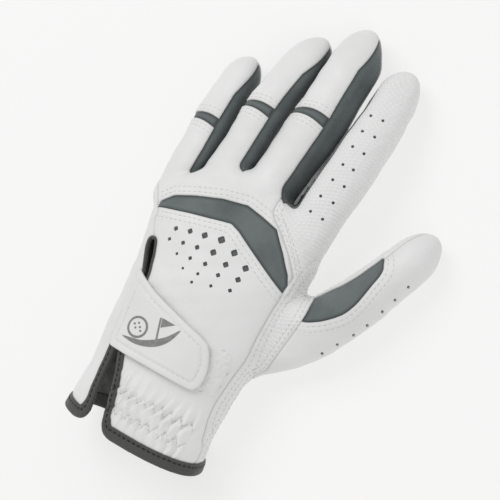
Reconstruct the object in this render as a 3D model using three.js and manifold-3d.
// A left-hand golf glove lying palm down on a table, fingers relaxed: +Y runs to the fingertips, +X to the
// thumb side and +Z out of the back of the hand. The origin is the middle of the palm's resting face.
// The glove is drafted on a hand form. Each leather, stretch or trim piece is a shell cut from that form.
import * as THREE from "three";
import { mergeVertices } from "three/addons/utils/BufferGeometryUtils.js";
import Module from "manifold-3d";

const wasm = await Module();
wasm.setup();

// Driving dimensions, in pattern millimetres.
const GRADE = 0.943; // the pattern is drafted one size up and graded down to a men's medium-large
const ORIGIN = new THREE.Vector3(0, 60, 0); // pattern point that becomes the part's origin
const WALL = 1; // leather and stretch fabric with its lining
const GAP = 0.3; // clearance between neighbouring pieces
const BINDING_WIDTH = 6; // how far the edge binding reaches in from the hem
const SLIT_BINDING = 4; // how far it reaches round the slit below the tab
const KEYHOLE_BINDING = 2.4; // and round the keyhole above it
const BINDING_PROUD = 1.3; // how far it stands out from the leather, outside and in
const PALM_SIDES = 24;
const DIGIT_SIDES = 14;
const LEATHER_INSET = 0.9; // the leather stops this far inside the fold of the binding
const HEM_SLOPE = -0.22; // the cuff is cut lower over the back of the hand than under the palm
const HEM_AT_TABLE = 6; // where the hem meets the table
const ABOVE = 60; // a height clear above the whole glove
const BELOW = -5; // and one clear below it
const BACK_ONLY = 20; // a cut that starts at this height takes the back of the hand and leaves the palm
const SIDE = 60; // a reach clear of both sides of the hand
const SIDEWALL = [47, 133]; // where a finger's sidewall lies, in degrees from its back towards the thumb side

// Cross-sections of the hand from cuff to finger roots: y, centre x and z, half width, half thickness, and
// the lift of the underside off the table, which is there only where the thick hem binding lies under it.
const HEM_LIFT = 1.4;
const PALM_SECTIONS = [
  [-14, 3.5, 19.5, 37.5, 20.5, HEM_LIFT],
  [13, 2.9, 19.5, 35.8, 20.5, HEM_LIFT],
  [18, 2.6, 19.5, 35.4, 20.5, 0],
  [28, 2.2, 19.5, 35.2, 20, 0],
  [50, 1.9, 19.5, 36.7, 20, 0],
  [75, 1.6, 19.5, 38.7, 20, 0],
  [100, 1.3, 20, 42.1, 19, 0],
  [115, 1.1, 20.5, 43.2, 16.5, 0],
  [126, 0.9, 20.5, 43.2, 13.5, 0],
  [144, 0.5, 20.5, 41, 11, 0],
];
const PALM_ROUNDNESS = 2.4; // superellipse exponents: 2 is an ellipse, more is boxier
const DIGIT_ROUNDNESS = 2.6;

// The web between the fingers lies on this curve across the hand.
const webY = (x) => 139.3 + 0.0143 * x - 0.014 * x * x;

// Each digit: dorsal is the way its back faces, path runs root, middle joint, tip,
// and wide and thick are the half sizes at the root, the joint and the start of the rounded tip.
const rad = THREE.MathUtils.degToRad;
const vec = (p) => new THREE.Vector3(...p);
const lean = (degrees) => [-Math.sin(rad(degrees)), 0, Math.cos(rad(degrees))];
const DIGITS = {
  little: {
    dorsal: lean(18),
    path: [[-38.8, 108, 17.5], [-37.7, 154.5, 18], [-40, 189.5, 6.5]],
    wide: [9, 9.2, 9.6],
    thick: [9.5, 9.3, 9],
    tip: 15,
  },
  ring: {
    dorsal: lean(16),
    path: [[-20, 112, 20], [-15.3, 170.5, 21], [-11.4, 213.5, 6.5]],
    wide: [9.6, 9.8, 9.9],
    thick: [10.2, 10, 9.4],
    tip: 17,
  },
  middle: {
    dorsal: lean(14),
    path: [[3, 112, 20.5], [9.8, 178, 22], [8, 226.5, 6.5]],
    wide: [11, 11.4, 11.2],
    thick: [11, 11, 10.4],
    tip: 19,
  },
  index: {
    dorsal: lean(-8),
    path: [[30, 110, 20], [36.7, 170, 21], [35.5, 216.5, 6.5]],
    wide: [11.6, 11.8, 11],
    thick: [11, 10.8, 10.2],
    tip: 19,
    bendLean: 12, // it bends in the same plane as its neighbour, so the two never cross
    bendDepth: 11.9,
  },
  thumb: {
    dorsal: [[0.05, -0.1, 1], [0.45, -0.25, 0.86], [0.813, -0.326, 0.482], [0.813, -0.326, 0.482]],
    path: [[24, 70, 12], [56, 90, 14.5], [74.8, 122.8, 14], [85.8, 153, 9]],
    wide: [21, 13.6, 10.6, 10.2],
    thick: [8.5, 11.8, 11, 10.4],
    tip: 17,
    turns: [0.33, 0.67],
  },
};
const dorsalAt = ({ dorsal }, i) => vec(Array.isArray(dorsal[0]) ? dorsal[i] : dorsal);

// Outlines on the back of the hand, as x and y.
const SLIT = [
  [-14.5, -20], [-15.3, 5], [-16.9, 16], [-18.6, 29], [-19.8, 40], [-21, 51], [-22.4, 62], [-24.9, 73.5],
  [-29, 81.5], [-31.6, 87], [-31.4, 89.2], [-29, 89.4], [-26.4, 84.5], [-24, 78.5], [-22.6, 73.5],
  [-21.2, 62], [-19.8, 51], [-18.6, 40], [-17.1, 35], [-12.3, 24], [-8.4, 11.5], [-7, 2.5], [-6.6, -20],
];
const SLIT_THUMB_SIDE = SLIT.slice(11); // from the keyhole's end back to the cuff
const RADIAL_SEAM = [
  [39.2, -20], [38.8, 9], [36.9, 20], [35.3, 32], [36.3, 50], [37.2, 60], [37.6, 75], [38.8, 96.3],
];
const STRETCH_LOWER = [[38.8, 96.3], [20.1, 106], [6.3, 113.4], [2, 113.6], [-17.2, 109.3], [-37.3, 104]];
const STRETCH_UPPER = [
  [-40, 112.5], [-28.9, 116], [-17.8, 118.5], [-7.2, 122], [4.7, 124.6],
  [12.8, 123], [22.7, 121], [30.6, 113.5], [37.6, 105], [39, 102],
];
const INDEX_SEAM = [[39.7, 104.5], [34.4, 112], [26.3, 119.5], [17.7, 126], [15.9, 130], [16.5, 138]];
const TAB = [
  [-28.4, 74], [-23.7, 72.5], [-11.1, 68], [5, 63.6], [18.3, 60.2], [22.3, 57.5], [25.1, 52], [26.4, 46],
  [26.3, 41], [25.1, 38], [22.2, 36.3], [5, 36], [-16.8, 36], [-22.8, 37.3], [-24, 47], [-26.3, 60],
];
const LOOP_PATCH = [
  [-4, 61], [16, 59.5], [30.6, 60], [33.5, 56], [34.3, 50], [34, 42], [31.7, 38.5], [-4, 38.5],
];
const HOOK_PAD = [[-1, 60], [14, 57.5], [20.5, 53], [23, 46], [22.5, 41], [20, 39.5], [-1, 39.5]];

const colour = {
  leather: { color: 0xe9e9e7, roughness: 0.55 },
  textured: { color: 0xe6e7e6, roughness: 0.65 },
  stretch: { color: 0x6a7374, roughness: 0.85 },
  binding: { color: 0x55585a, roughness: 0.8 },
  hook: { color: 0xf0f0ee, roughness: 0.95 },
};

// A closed geometry as a manifold solid, with its shared vertices merged.
function solid(geometry) {
  geometry.deleteAttribute("normal");
  geometry.deleteAttribute("uv");
  const merged = mergeVertices(geometry, 1e-4);
  return new wasm.Manifold(
    new wasm.Mesh({
      numProp: 3,
      vertProperties: new Float32Array(merged.attributes.position.array),
      triVerts: new Uint32Array(merged.index.array),
    }),
  );
}

// The largest body of a solid: cuts through curved walls can leave slivers behind.
const main = (s) => s.decompose().sort((p, q) => q.volume() - p.volume())[0];
const union = (...solids) => solids.reduce((all, s) => all.add(s));

// A tube through rings of superellipse sections: each ring is { centre, across, up, a, b, floor }.
function loft(rings, sides, exponent) {
  const geometry = new THREE.CylinderGeometry(1, 1, 1, sides, rings.length - 1);
  const position = geometry.attributes.position;
  const p = new THREE.Vector3();
  const rounded = (s) => Math.sign(s) * Math.abs(s) ** (2 / exponent);
  for (let i = 0; i < position.count; i++) {
    p.fromBufferAttribute(position, i);
    const ring = rings[Math.round((p.y + 0.5) * (rings.length - 1))];
    const [x, z] = [p.x, p.z];
    p.copy(ring.centre)
      .addScaledVector(ring.across, ring.a * rounded(x))
      .addScaledVector(ring.up, ring.b * rounded(z));
    p.z = Math.max(p.z, ring.floor ?? -Infinity);
    position.setXYZ(i, p.x, p.y, p.z);
  }
  return solid(geometry);
}

// The palm part of the hand form, grown or shrunk by an offset; it lies flat on the table.
function palmForm(grow) {
  const rings = PALM_SECTIONS.map(([y, x, z, a, b, lift]) => ({
    centre: new THREE.Vector3(x, y, z),
    across: new THREE.Vector3(1, 0, 0),
    up: new THREE.Vector3(0, 0, 1),
    a: a + grow,
    b: b + grow,
    floor: lift - grow,
  }));
  const web = [[-60, -30], [60, -30]];
  for (let x = 52; x >= -52; x -= 8) web.push([x, webY(x) + grow]);
  return loft(rings, PALM_SIDES, PALM_ROUNDNESS).intersect(prism(web, -10, 60));
}

// The frame of a digit at one of its path points: along the digit, across it to the thumb side, and up out
// of its back.
function digitFrame(digit, i) {
  const { path } = digit;
  const before = vec(path[Math.max(i - 1, 0)]);
  const after = vec(path[Math.min(i + 1, path.length - 1)]);
  const here = vec(path[i]);
  const along = new THREE.Vector3();
  if (i > 0) along.add(here.clone().sub(before).normalize());
  if (i < path.length - 1) along.add(after.clone().sub(here).normalize());
  along.normalize();
  const across = along.clone().cross(dorsalAt(digit, i)).normalize();
  return { centre: here, along, across, up: across.clone().cross(along) };
}

// Rings part of the way from one to the next, for a digit whose back turns sideways along its length.
function between(ring, next, turns = []) {
  return turns.map((share) => {
    const along = ring.along.clone().lerp(next.along, share).normalize();
    const up = ring.up.clone().lerp(next.up, share);
    const across = along.clone().cross(up).normalize();
    const centre = ring.centre.clone().lerp(next.centre, share);
    const [a, b] = [ring.a + (next.a - ring.a) * share, ring.b + (next.b - ring.b) * share];
    return { centre, along, across, up: across.clone().cross(along), a, b };
  });
}

// A digit of the hand form: straight between its joints, with an egg-shaped tip.
function digitForm(digit, grow) {
  const { path, wide, thick, tip } = digit;
  const last = path.length - 1;
  const joints = wide.map((a, i) => ({ ...digitFrame(digit, i), a: a + grow, b: thick[i] + grow }));
  const end = joints.pop();
  const rings = joints.flatMap((ring, i) => {
    const turned = i + 1 < last ? between(ring, joints[i + 1], digit.turns) : [];
    return [ring, ...turned];
  });
  const reach = tip + grow;
  const capStart = end.centre.clone().addScaledVector(end.along, -tip);
  for (const share of [0, 0.5, 0.82, 0.98]) {
    const narrow = Math.sqrt(1 - share * share);
    rings.push({
      ...end,
      centre: capStart.clone().addScaledVector(end.along, reach * share),
      a: (wide[last] + grow) * narrow,
      b: (thick[last] + grow) * narrow,
    });
  }
  return loft(rings, DIGIT_SIDES, DIGIT_ROUNDNESS);
}

// A polygon pushed outwards by a distance, or inwards by a negative one.
function offset(points, distance) {
  const area = THREE.ShapeUtils.area(points.map(([x, y]) => new THREE.Vector2(x, y)));
  const side = Math.sign(area) * distance;
  return points.map((p, i) => {
    const q = points[(i + points.length - 1) % points.length];
    const r = points[(i + 1) % points.length];
    const a = new THREE.Vector2(p[0] - q[0], p[1] - q[1]).normalize();
    const b = new THREE.Vector2(r[0] - p[0], r[1] - p[1]).normalize();
    const normal = new THREE.Vector2(a.y + b.y, -a.x - b.x).normalize();
    const stretch = 1 / Math.max(0.4, normal.dot(new THREE.Vector2(a.y, -a.x)));
    return [p[0] + normal.x * side * stretch, p[1] + normal.y * side * stretch];
  });
}

// An extruded polygon, standing on z0 and reaching z1, or in the frame given by three axes and a centre.
function prism(points, z0, z1, frame) {
  const shape = new THREE.Shape(points.map(([x, y]) => new THREE.Vector2(x, y)));
  const geometry = new THREE.ExtrudeGeometry(shape, { depth: z1 - z0, bevelEnabled: false, steps: 1 });
  geometry.translate(0, 0, z0);
  if (frame) geometry.applyMatrix4(new THREE.Matrix4().makeBasis(...frame.axes).setPosition(frame.centre));
  return solid(geometry);
}

// A slice of space that follows the tilted hem: between two distances in from the cut edge.
function hemBand(from, to) {
  const [low, high] = [-20, 70];
  const edge = (z) => HEM_AT_TABLE + HEM_SLOPE * z;
  const points = [
    [edge(low) + from, low],
    [edge(low) + to, low],
    [edge(high) + to, high],
    [edge(high) + from, high],
  ];
  const axes = [vec([0, 1, 0]), vec([0, 0, 1]), vec([1, 0, 0])];
  return prism(points, -70, 70, { axes, centre: new THREE.Vector3() });
}

// The frame in which a digit bends: its own, or one turned about the digit to a stated lean. The hinge line
// lies just under the digit.
function bendFrame(digit, i) {
  const frame = digitFrame(digit, i);
  const depth = digit.bendDepth ?? digit.thick[i] + GAP;
  if (digit.bendLean === undefined) return { ...frame, depth };
  const across = frame.along.clone().cross(vec(lean(digit.bendLean))).normalize();
  return { ...frame, across, up: across.clone().cross(frame.along), depth };
}

// A hinge line on the palm side of the form, with the wedge of cloth that opens over it and the space
// beyond it.
function hinge({ centre, along, across, up }, depth, openDegrees, halfWidth) {
  const at = centre.clone().addScaledVector(up, -depth);
  const height = 60;
  const spread = GAP + Math.tan(rad(openDegrees)) * height;
  const wedge = [[-GAP, -8], [GAP, -8], [GAP, 0], [spread, height], [-spread, height], [-GAP, 0]];
  const beyond = [[0, -40], [120, -40], [120, 60], [0, 60]];
  const frame = { axes: [along, up, across], centre: at };
  return {
    wedge: prism(wedge, -halfWidth, halfWidth, frame),
    beyond: prism(beyond, -halfWidth, halfWidth, frame),
  };
}

// A sector round a digit's axis, between two angles from its back towards the thumb side, over a length of
// the digit.
function sector(digit, i, from, to, start, end, grow = 0) {
  const base = vec(digit.path[i]);
  const along = vec(digit.path[i + 1]).sub(base).normalize();
  const across = along.clone().cross(dorsalAt(digit, i)).normalize();
  const up = across.clone().cross(along);
  const half = (to - from) / 2;
  const middle = rad(from + half);
  const shift = (GAP / 2 - grow) / Math.sin(rad(half));
  const apex = [Math.cos(middle) * shift, Math.sin(middle) * shift];
  const points = [apex];
  const steps = 4;
  for (let k = 0; k <= steps; k++) {
    const angle = rad(from + ((to - from) * k) / steps);
    points.push([apex[0] + 40 * Math.cos(angle), apex[1] + 40 * Math.sin(angle)]);
  }
  return prism(points, start, end, { axes: [up, across, along], centre: base });
}

const FINGER_NAMES = ["little", "ring", "middle", "index"];
const fingers = FINGER_NAMES.map((name) => DIGITS[name]);
const handForm = (grow) => union(palmForm(grow), ...fingers.map((f) => digitForm(f, grow)));

// Where the glove bends: across the knuckles, at the middle of each finger, and at two places on the thumb.
const knuckleAcross = new THREE.Vector3(1, 0.105, 0).normalize();
const KNUCKLE = {
  centre: new THREE.Vector3(0, 118, 20.5),
  across: knuckleAcross,
  along: new THREE.Vector3(0, 0, 1).cross(knuckleAcross),
  up: new THREE.Vector3(0, 0, 1),
};
const knuckle = hinge(KNUCKLE, 16.3, 6, 80);
const middleJoint = (digit, i = 1) => {
  const frame = bendFrame(digit, i);
  return hinge(frame, frame.depth, 8, 16);
};
const fingerJoints = fingers.map((f) => middleJoint(f));
const thumbBase = hinge(digitFrame(DIGITS.thumb, 1), DIGITS.thumb.thick[1] + GAP, 6, 24);
const thumbMiddle = middleJoint(DIGITS.thumb, 2);

// The shell of the hand, open at the cuff and where the thumb is set in.
const cuffSpace = hemBand(-60, LEATHER_INSET);
const thumbInside = digitForm(DIGITS.thumb, -WALL);
const handShell = handForm(0).subtract(handForm(-WALL)).subtract(cuffSpace).subtract(thumbInside);
const slitCut = prism(offset(SLIT, LEATHER_INSET), BACK_ONLY, ABOVE);
const reachOf = ({ wedge, beyond }, i) => union(beyond, wedge).intersect(digitForm(fingers[i], 1));
const fingerReach = fingerJoints.map(reachOf);
const handWithoutTips = fingerReach.reduce((shell, reach) => shell.subtract(reach), handShell);

const pieces = new Map();
const keep = (name, shape, material) => pieces.set(name, { shape: main(shape), material });

// Back of the hand, cuff to knuckles.
let rest = handWithoutTips.subtract(knuckle.wedge).subtract(knuckle.beyond).subtract(slitCut);
const stretchOutline = [...STRETCH_LOWER, ...STRETCH_UPPER];
const backOutline = [...RADIAL_SEAM, ...STRETCH_LOWER.slice(1), [-34.7, 97], [-30.4, 90], ...SLIT_THUMB_SIDE];
const STRETCH_FROM = 24; // each panel of the back reaches down the sides of the hand to a height of its own
const BACK_FROM = 14;
const STRIP_FROM = 12;
const stretchSpace = prism(offset(stretchOutline, GAP), STRETCH_FROM, ABOVE);
const stretchPanel = handWithoutTips.intersect(prism(stretchOutline, STRETCH_FROM, ABOVE));
keep("knuckle_stretch_panel", stretchPanel, "stretch");
rest = rest.subtract(stretchSpace);
keep("back_panel", rest.intersect(prism(backOutline, BACK_FROM, ABOVE)), "leather");
rest = rest.subtract(prism(offset(backOutline, GAP), BACK_FROM, ABOVE));
const radialStrip = [[60, -20], [60, 130], [22.7, 130], ...[...RADIAL_SEAM].reverse()];
keep("index_side_panel", rest.intersect(prism(radialStrip, STRIP_FROM, ABOVE)), "textured");
rest = rest.subtract(prism(offset(radialStrip, GAP), STRIP_FROM - GAP, ABOVE));
keep("palm_panel", rest, "leather");

// Sidewalls between the fingers: each runs up one finger, round the web and up the next.
let front = handWithoutTips.intersect(knuckle.beyond).subtract(knuckle.wedge);
const WEB_HALF_WIDTH = 7; // the part of a sidewall that goes round the web
const WEB_DEPTH = [-4, 7]; // along the hand, from the web's lowest point
const WEB_HEIGHT = [13, 27.5];
const NEIGHBOURS = [["little", "ring"], ["ring", "middle"], ["middle", "index"]];
for (const [first, second] of NEIGHBOURS) {
  const [a, b] = [DIGITS[first], DIGITS[second]];
  const web = (a.path[0][0] + a.path[1][0] + b.path[0][0] + b.path[1][0]) / 4;
  const start = (digit) => webY(web) - digit.path[0][1] - 1;
  const [back, ahead] = WEB_DEPTH.map((reach) => webY(web) + reach);
  const [left, right] = [web - WEB_HALF_WIDTH, web + WEB_HALF_WIDTH];
  const roundWeb = [[left, back], [right, back], [right, ahead], [left, ahead]];
  const space = (grow) =>
    union(
      sector(a, 0, ...SIDEWALL, start(a) - grow, 80, grow),
      sector(b, 0, ...SIDEWALL.map((angle) => -angle).reverse(), start(b) - grow, 80, grow),
      prism(offset(roundWeb, grow), WEB_HEIGHT[0] - grow, WEB_HEIGHT[1] + grow),
    );
  // The digit forms on either side bound the sidewall, so it takes nothing from the fingers further off.
  const [nearA, nearB] = [a.path[1][0], b.path[1][0]];
  const pair = prism([[nearA, 90], [nearB, 90], [nearB, 230], [nearA, 230]], BELOW, ABOVE);
  keep(`fourchette_${first}_${second}`, front.intersect(space(0)).intersect(pair), "stretch");
  front = front.subtract(space(GAP).intersect(pair));
}

// The textured back of the index finger, the leather back of the other fingers, and their palm side.
const indexOutline = [...INDEX_SEAM, [22, 146], [24, 190], [60, 190], [60, 104.5]];
const INDEX_FROM = 13; // heights at which the backs of the fingers meet their palm side
const FINGERS_FROM = 15;
keep("index_back_panel", front.intersect(prism(indexOutline, INDEX_FROM, ABOVE)), "textured");
front = front.subtract(prism(offset(indexOutline, GAP), INDEX_FROM - GAP, ABOVE));
front = front.subtract(stretchSpace);
const upperBack = [[-60, 90], [40, 90], [40, 200], [-60, 200]];
keep("upper_back_panel", front.intersect(prism(upperBack, FINGERS_FROM, ABOVE)), "leather");
keep("finger_front_panel", front.intersect(prism(upperBack, BELOW, FINGERS_FROM - GAP)), "leather");

// Each finger beyond its middle joint: back, front and the sidewalls, and the stretch band over the joint.
// The angles go round the finger from its back towards the thumb side.
const betweenFingers = {
  back_tip: [-47, 47, "leather"],
  side_tip: [47, 133, "stretch"],
  front_tip: [133, 227, "leather"],
  outer_side_tip: [227, 313, "stretch"],
};
const FINGER_PANELS = {
  little: {
    back_tip: [-97, 47, "leather"],
    side_tip: [47, 133, "stretch"],
    front_tip: [133, 263, "leather"],
  },
  ring: betweenFingers,
  middle: betweenFingers,
  index: {
    back_tip: [-55, 112, "textured"],
    front_tip: [112, 235, "leather"],
    outer_side_tip: [235, 305, "stretch"],
  },
};
const BAND_HALF_WIDTH = 1.9;
const BAND_REACH = 9; // how far the band goes to each side of the finger
fingers.forEach((finger, i) => {
  const name = FINGER_NAMES[i];
  const shell = digitForm(finger, 0).subtract(digitForm(finger, -WALL));
  const tip = shell.intersect(fingerJoints[i].beyond).subtract(fingerJoints[i].wedge);
  for (const [part, [from, to, material]] of Object.entries(FINGER_PANELS[name]))
    keep(`${name}_${part}`, tip.intersect(sector(finger, 1, from, to, -20, 90)), material);
  if (name === "index") return;
  const { centre, along, across, up } = digitFrame(finger, 1);
  const strip = [[-BAND_HALF_WIDTH, 0], [BAND_HALF_WIDTH, 0], [BAND_HALF_WIDTH, 20], [-BAND_HALF_WIDTH, 20]];
  const band = prism(strip, -BAND_REACH, BAND_REACH, { axes: [along, up, across], centre });
  keep(`${name}_stretch_band`, shell.intersect(band).intersect(fingerJoints[i].wedge), "stretch");
});

// Thumb: set into the palm, with a stretch gusset on the side that faces the index finger.
const thumbShell = digitForm(DIGITS.thumb, 0).subtract(thumbInside).subtract(palmForm(GAP));
const rootOfThumb = thumbShell.subtract(thumbBase.beyond).subtract(thumbBase.wedge);
keep("thumb_root_panel", rootOfThumb, "leather");
const thumb = thumbShell.intersect(thumbBase.beyond).subtract(thumbBase.wedge);
const thumbLower = thumb.subtract(thumbMiddle.beyond).subtract(thumbMiddle.wedge);
const thumbUpper = thumb.intersect(thumbMiddle.beyond).subtract(thumbMiddle.wedge);
const THUMB_BACK_TO = 100; // degrees round the thumb from its back to the seams of its panels
const THUMB_FRONT_TO = 256;
const GUSSET_TO = 312;
const aroundThumb = (i, from, to) => sector(DIGITS.thumb, i, from, to, -20, 70);
keep("thumb_gusset", thumbLower.intersect(aroundThumb(1, THUMB_FRONT_TO, GUSSET_TO)), "stretch");
keep("thumb_back_panel", thumbLower.intersect(aroundThumb(1, GUSSET_TO - 360, THUMB_BACK_TO)), "leather");
keep("thumb_front_panel", thumbLower.intersect(aroundThumb(1, THUMB_BACK_TO, THUMB_FRONT_TO)), "leather");
keep("thumb_back_tip", thumbUpper.intersect(aroundThumb(2, THUMB_FRONT_TO - 360, THUMB_BACK_TO)), "leather");
keep("thumb_front_tip", thumbUpper.intersect(aroundThumb(2, THUMB_BACK_TO, THUMB_FRONT_TO)), "leather");

// Edge binding: a strip folded over the cut edge of the cuff and of the slit.
const bindingShell = palmForm(BINDING_PROUD).subtract(palmForm(-WALL - BINDING_PROUD));
const leatherSpace = palmForm(GAP).subtract(palmForm(-WALL - GAP));
const aroundSlit = (distance) => prism(offset(SLIT, distance), BACK_ONLY, ABOVE);
const leatherEdge = leatherSpace
  .intersect(hemBand(LEATHER_INSET - GAP, 160))
  .subtract(aroundSlit(LEATHER_INSET - GAP));
const binding = bindingShell
  .intersect(union(hemBand(0, BINDING_WIDTH), aroundSlit(SLIT_BINDING).intersect(hemBand(0, 120))))
  .subtract(prism(SLIT, BACK_ONLY, ABOVE))
  .subtract(leatherEdge);
const acrossHand = (from, to) => [[-SIDE, from], [SIDE, from], [SIDE, to], [-SIDE, to]];
const BINDING_STOPS = 35; // under the tab, between these two places, the slit has no binding
const BINDING_STARTS = 62;
const belowTab = prism(acrossHand(-30, BINDING_STOPS), BELOW, ABOVE);
const aboveTab = prism(acrossHand(BINDING_STARTS, 110), 15, ABOVE);
const backSide = [
  [-11, -30], [-11, 5], [-14, 20], [-18.4, 36], // down the middle of the slit
  [SIDE, 36], [SIDE, 12.5], [38.9, 12.5], [38.9, -30], // and round the thumb side, under the strip
];
const HEM_JOIN = 16; // height of the place where the two hem bindings meet
const backHem = prism(backSide, HEM_JOIN, ABOVE);
const backHemSpace = prism(offset(backSide, GAP), HEM_JOIN - GAP, ABOVE);
keep("back_hem_binding", binding.intersect(belowTab).intersect(backHem), "binding");
keep("palm_hem_binding", binding.intersect(belowTab).subtract(backHemSpace), "binding");
keep("keyhole_binding", binding.intersect(aboveTab).intersect(aroundSlit(KEYHOLE_BINDING)), "binding");

// The elastic sewn inside the back of the wrist, which gathers the leather.
const ELASTIC = [[1, 12], [33, 12], [33, 20], [1, 20]];
const ELASTIC_THICKNESS = 0.9;
const underLeather = palmForm(-WALL - GAP);
const elasticLayer = underLeather.subtract(palmForm(-WALL - GAP - ELASTIC_THICKNESS));
keep("wrist_elastic", elasticLayer.intersect(prism(ELASTIC, BACK_ONLY, ABOVE)), "hook");

// The closure: loop patch on the back, and hook pad and cover on the tab, which is sewn on at the
// little-finger side. Each is a layer between two distances out from the back of the hand.
const LOOP_LAYER = [0.3, 1];
const HOOK_LAYER = [1.3, 2];
const COVER_LAYER = [2.3, 3.8];
const LAYERS_FROM = 22; // the layers lie on the back of the hand only, above this height
function layer([from, to], outline) {
  const sheet = palmForm(to).subtract(palmForm(from));
  return sheet.intersect(prism(outline, LAYERS_FROM, ABOVE));
}
keep("loop_patch", layer(LOOP_LAYER, LOOP_PATCH), "hook");
keep("tab_hook_pad", layer(HOOK_LAYER, HOOK_PAD), "hook");
keep("tab_cover", layer(COVER_LAYER, TAB), "leather");

const glove = new THREE.Group();
for (const [name, { shape, material }] of pieces) {
  const { vertProperties, triVerts } = shape.getMesh();
  const geometry = new THREE.BufferGeometry();
  geometry.setAttribute("position", new THREE.BufferAttribute(new Float32Array(vertProperties), 3));
  geometry.setIndex(new THREE.BufferAttribute(new Uint32Array(triVerts), 1));
  geometry.computeVertexNormals();
  const finish = new THREE.MeshStandardMaterial({ metalness: 0, ...colour[material] });
  const mesh = new THREE.Mesh(geometry, finish);
  mesh.name = name;
  glove.add(mesh);
}
glove.position.copy(ORIGIN).multiplyScalar(-GRADE);
glove.scale.setScalar(GRADE);
export default glove;
